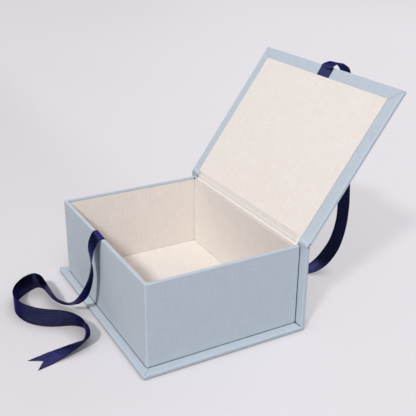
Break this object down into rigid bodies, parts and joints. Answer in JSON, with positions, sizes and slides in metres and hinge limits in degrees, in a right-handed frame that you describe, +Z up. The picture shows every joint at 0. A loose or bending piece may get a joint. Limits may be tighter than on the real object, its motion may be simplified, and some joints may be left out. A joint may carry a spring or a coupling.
{
  "type": "photo storage box",
  "caption": "Cloth-covered hinged box for photographs and papers: a lined tray glued into a case with base, spine and lid, tied by satin ribbons.",
  "frame": {"origin": "centre of the tray's footprint on the underside of the base", "axes": "+X along the hinge, +Y from the front with the ribbon to the spine and hinge, +Z up out of the tray"},
  "size_m": [0.24, 0.3904, 0.2439],
  "materials": {
    "blue_cloth": "matt linen book cloth",
    "cream_lining": "matt linen-embossed lining",
    "greyboard": "plain",
    "filler_paper": "plain",
    "gummed_tape": "plain",
    "navy_ribbon": "double-faced satin"
  },
  "bodies": {
    "case": {"base_board": "greyboard", "base_cloth": "blue_cloth", "base_infill": "filler_paper", "spine_board": "greyboard", "spine_cloth": "blue_cloth", "spine_infill": "filler_paper", "tray_floor_board": "greyboard", "tray_front_board": "greyboard", "tray_back_board": "greyboard", "tray_left_board": "greyboard", "tray_right_board": "greyboard", "corner_stay_front_left": "gummed_tape", "corner_stay_front_right": "gummed_tape", "corner_stay_back_left": "gummed_tape", "corner_stay_back_right": "gummed_tape", "tray_cloth": "blue_cloth", "floor_lining": "cream_lining", "front_lining": "cream_lining", "back_lining": "cream_lining", "left_lining": "cream_lining", "right_lining": "cream_lining", "hinge_cloth": "blue_cloth", "hinge_liner": "cream_lining", "front_ribbon": "navy_ribbon"},
    "lid": {"lid_board": "greyboard", "lid_cloth": "blue_cloth", "lid_lining": "cream_lining", "lid_ribbon_loop": "navy_ribbon"},
    "lid_ribbon": {"lid_ribbon_tail": "navy_ribbon"}
  },
  "joints": [
    {"name": "lid_hinge", "type": "hinge", "parent": "case", "child": "lid", "pos_m": [0, 0.0855, 0.0949], "axis": [1, 0, 0], "range_deg": [0, 126], "deforming": ["hinge_cloth", "hinge_liner", "front_ribbon"]},
    {"name": "ribbon_drape", "type": "hinge", "parent": "lid", "child": "lid_ribbon", "pos_m": [0, 0.20554, 0.23825], "axis": [1, 0, 0], "range_deg": [-35.28, 0], "deforming": ["lid_ribbon_tail", "lid_ribbon_loop"]}
  ],
  "couplings": [
    {"joint": "ribbon_drape", "follows": "lid_hinge", "ratio": -0.28}
  ]
}
